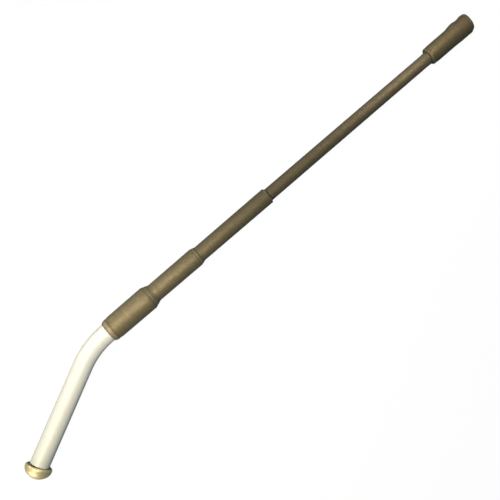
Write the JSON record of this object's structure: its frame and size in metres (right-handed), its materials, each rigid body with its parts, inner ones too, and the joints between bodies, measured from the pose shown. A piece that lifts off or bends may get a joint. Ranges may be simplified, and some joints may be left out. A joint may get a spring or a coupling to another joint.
{
  "type": "static discharger",
  "caption": "Bent metal tube with a domed foot at one end, joined to a sleeved slender rod that ends in small discharge points under a closed cap.",
  "frame": {"origin": "centre of the foot's flat shoulder, the ring around the tube that the gland nut bears on", "axes": "+X along the foot's axis, from the dome through the shoulder; the rod bends off towards -Y; +Z square to the plane of the bend"},
  "size_m": [0.2726, 0.1406, 0.013],
  "materials": {
    "foot_brass": "satin",
    "tube_metal": "satin",
    "coupling_metal": "satin",
    "core_glass_fibre": "matte",
    "film_black": "matte",
    "jacket_khaki": "satin",
    "boot_khaki": "satin",
    "holder_metal": "satin",
    "pin_tungsten": "satin",
    "cap_khaki": "satin"
  },
  "bodies": {
    "root": {"mounting_foot": "foot_brass", "base_tube": "tube_metal", "coupling": "coupling_metal", "rod_core": "core_glass_fibre", "resistive_film": "film_black", "rod_jacket": "jacket_khaki", "boot": "boot_khaki", "point_holder": "holder_metal", "inner_discharge_pin": "pin_tungsten", "outer_discharge_pin": "pin_tungsten", "tip_cap": "cap_khaki"}
  },
  "joints": []
}
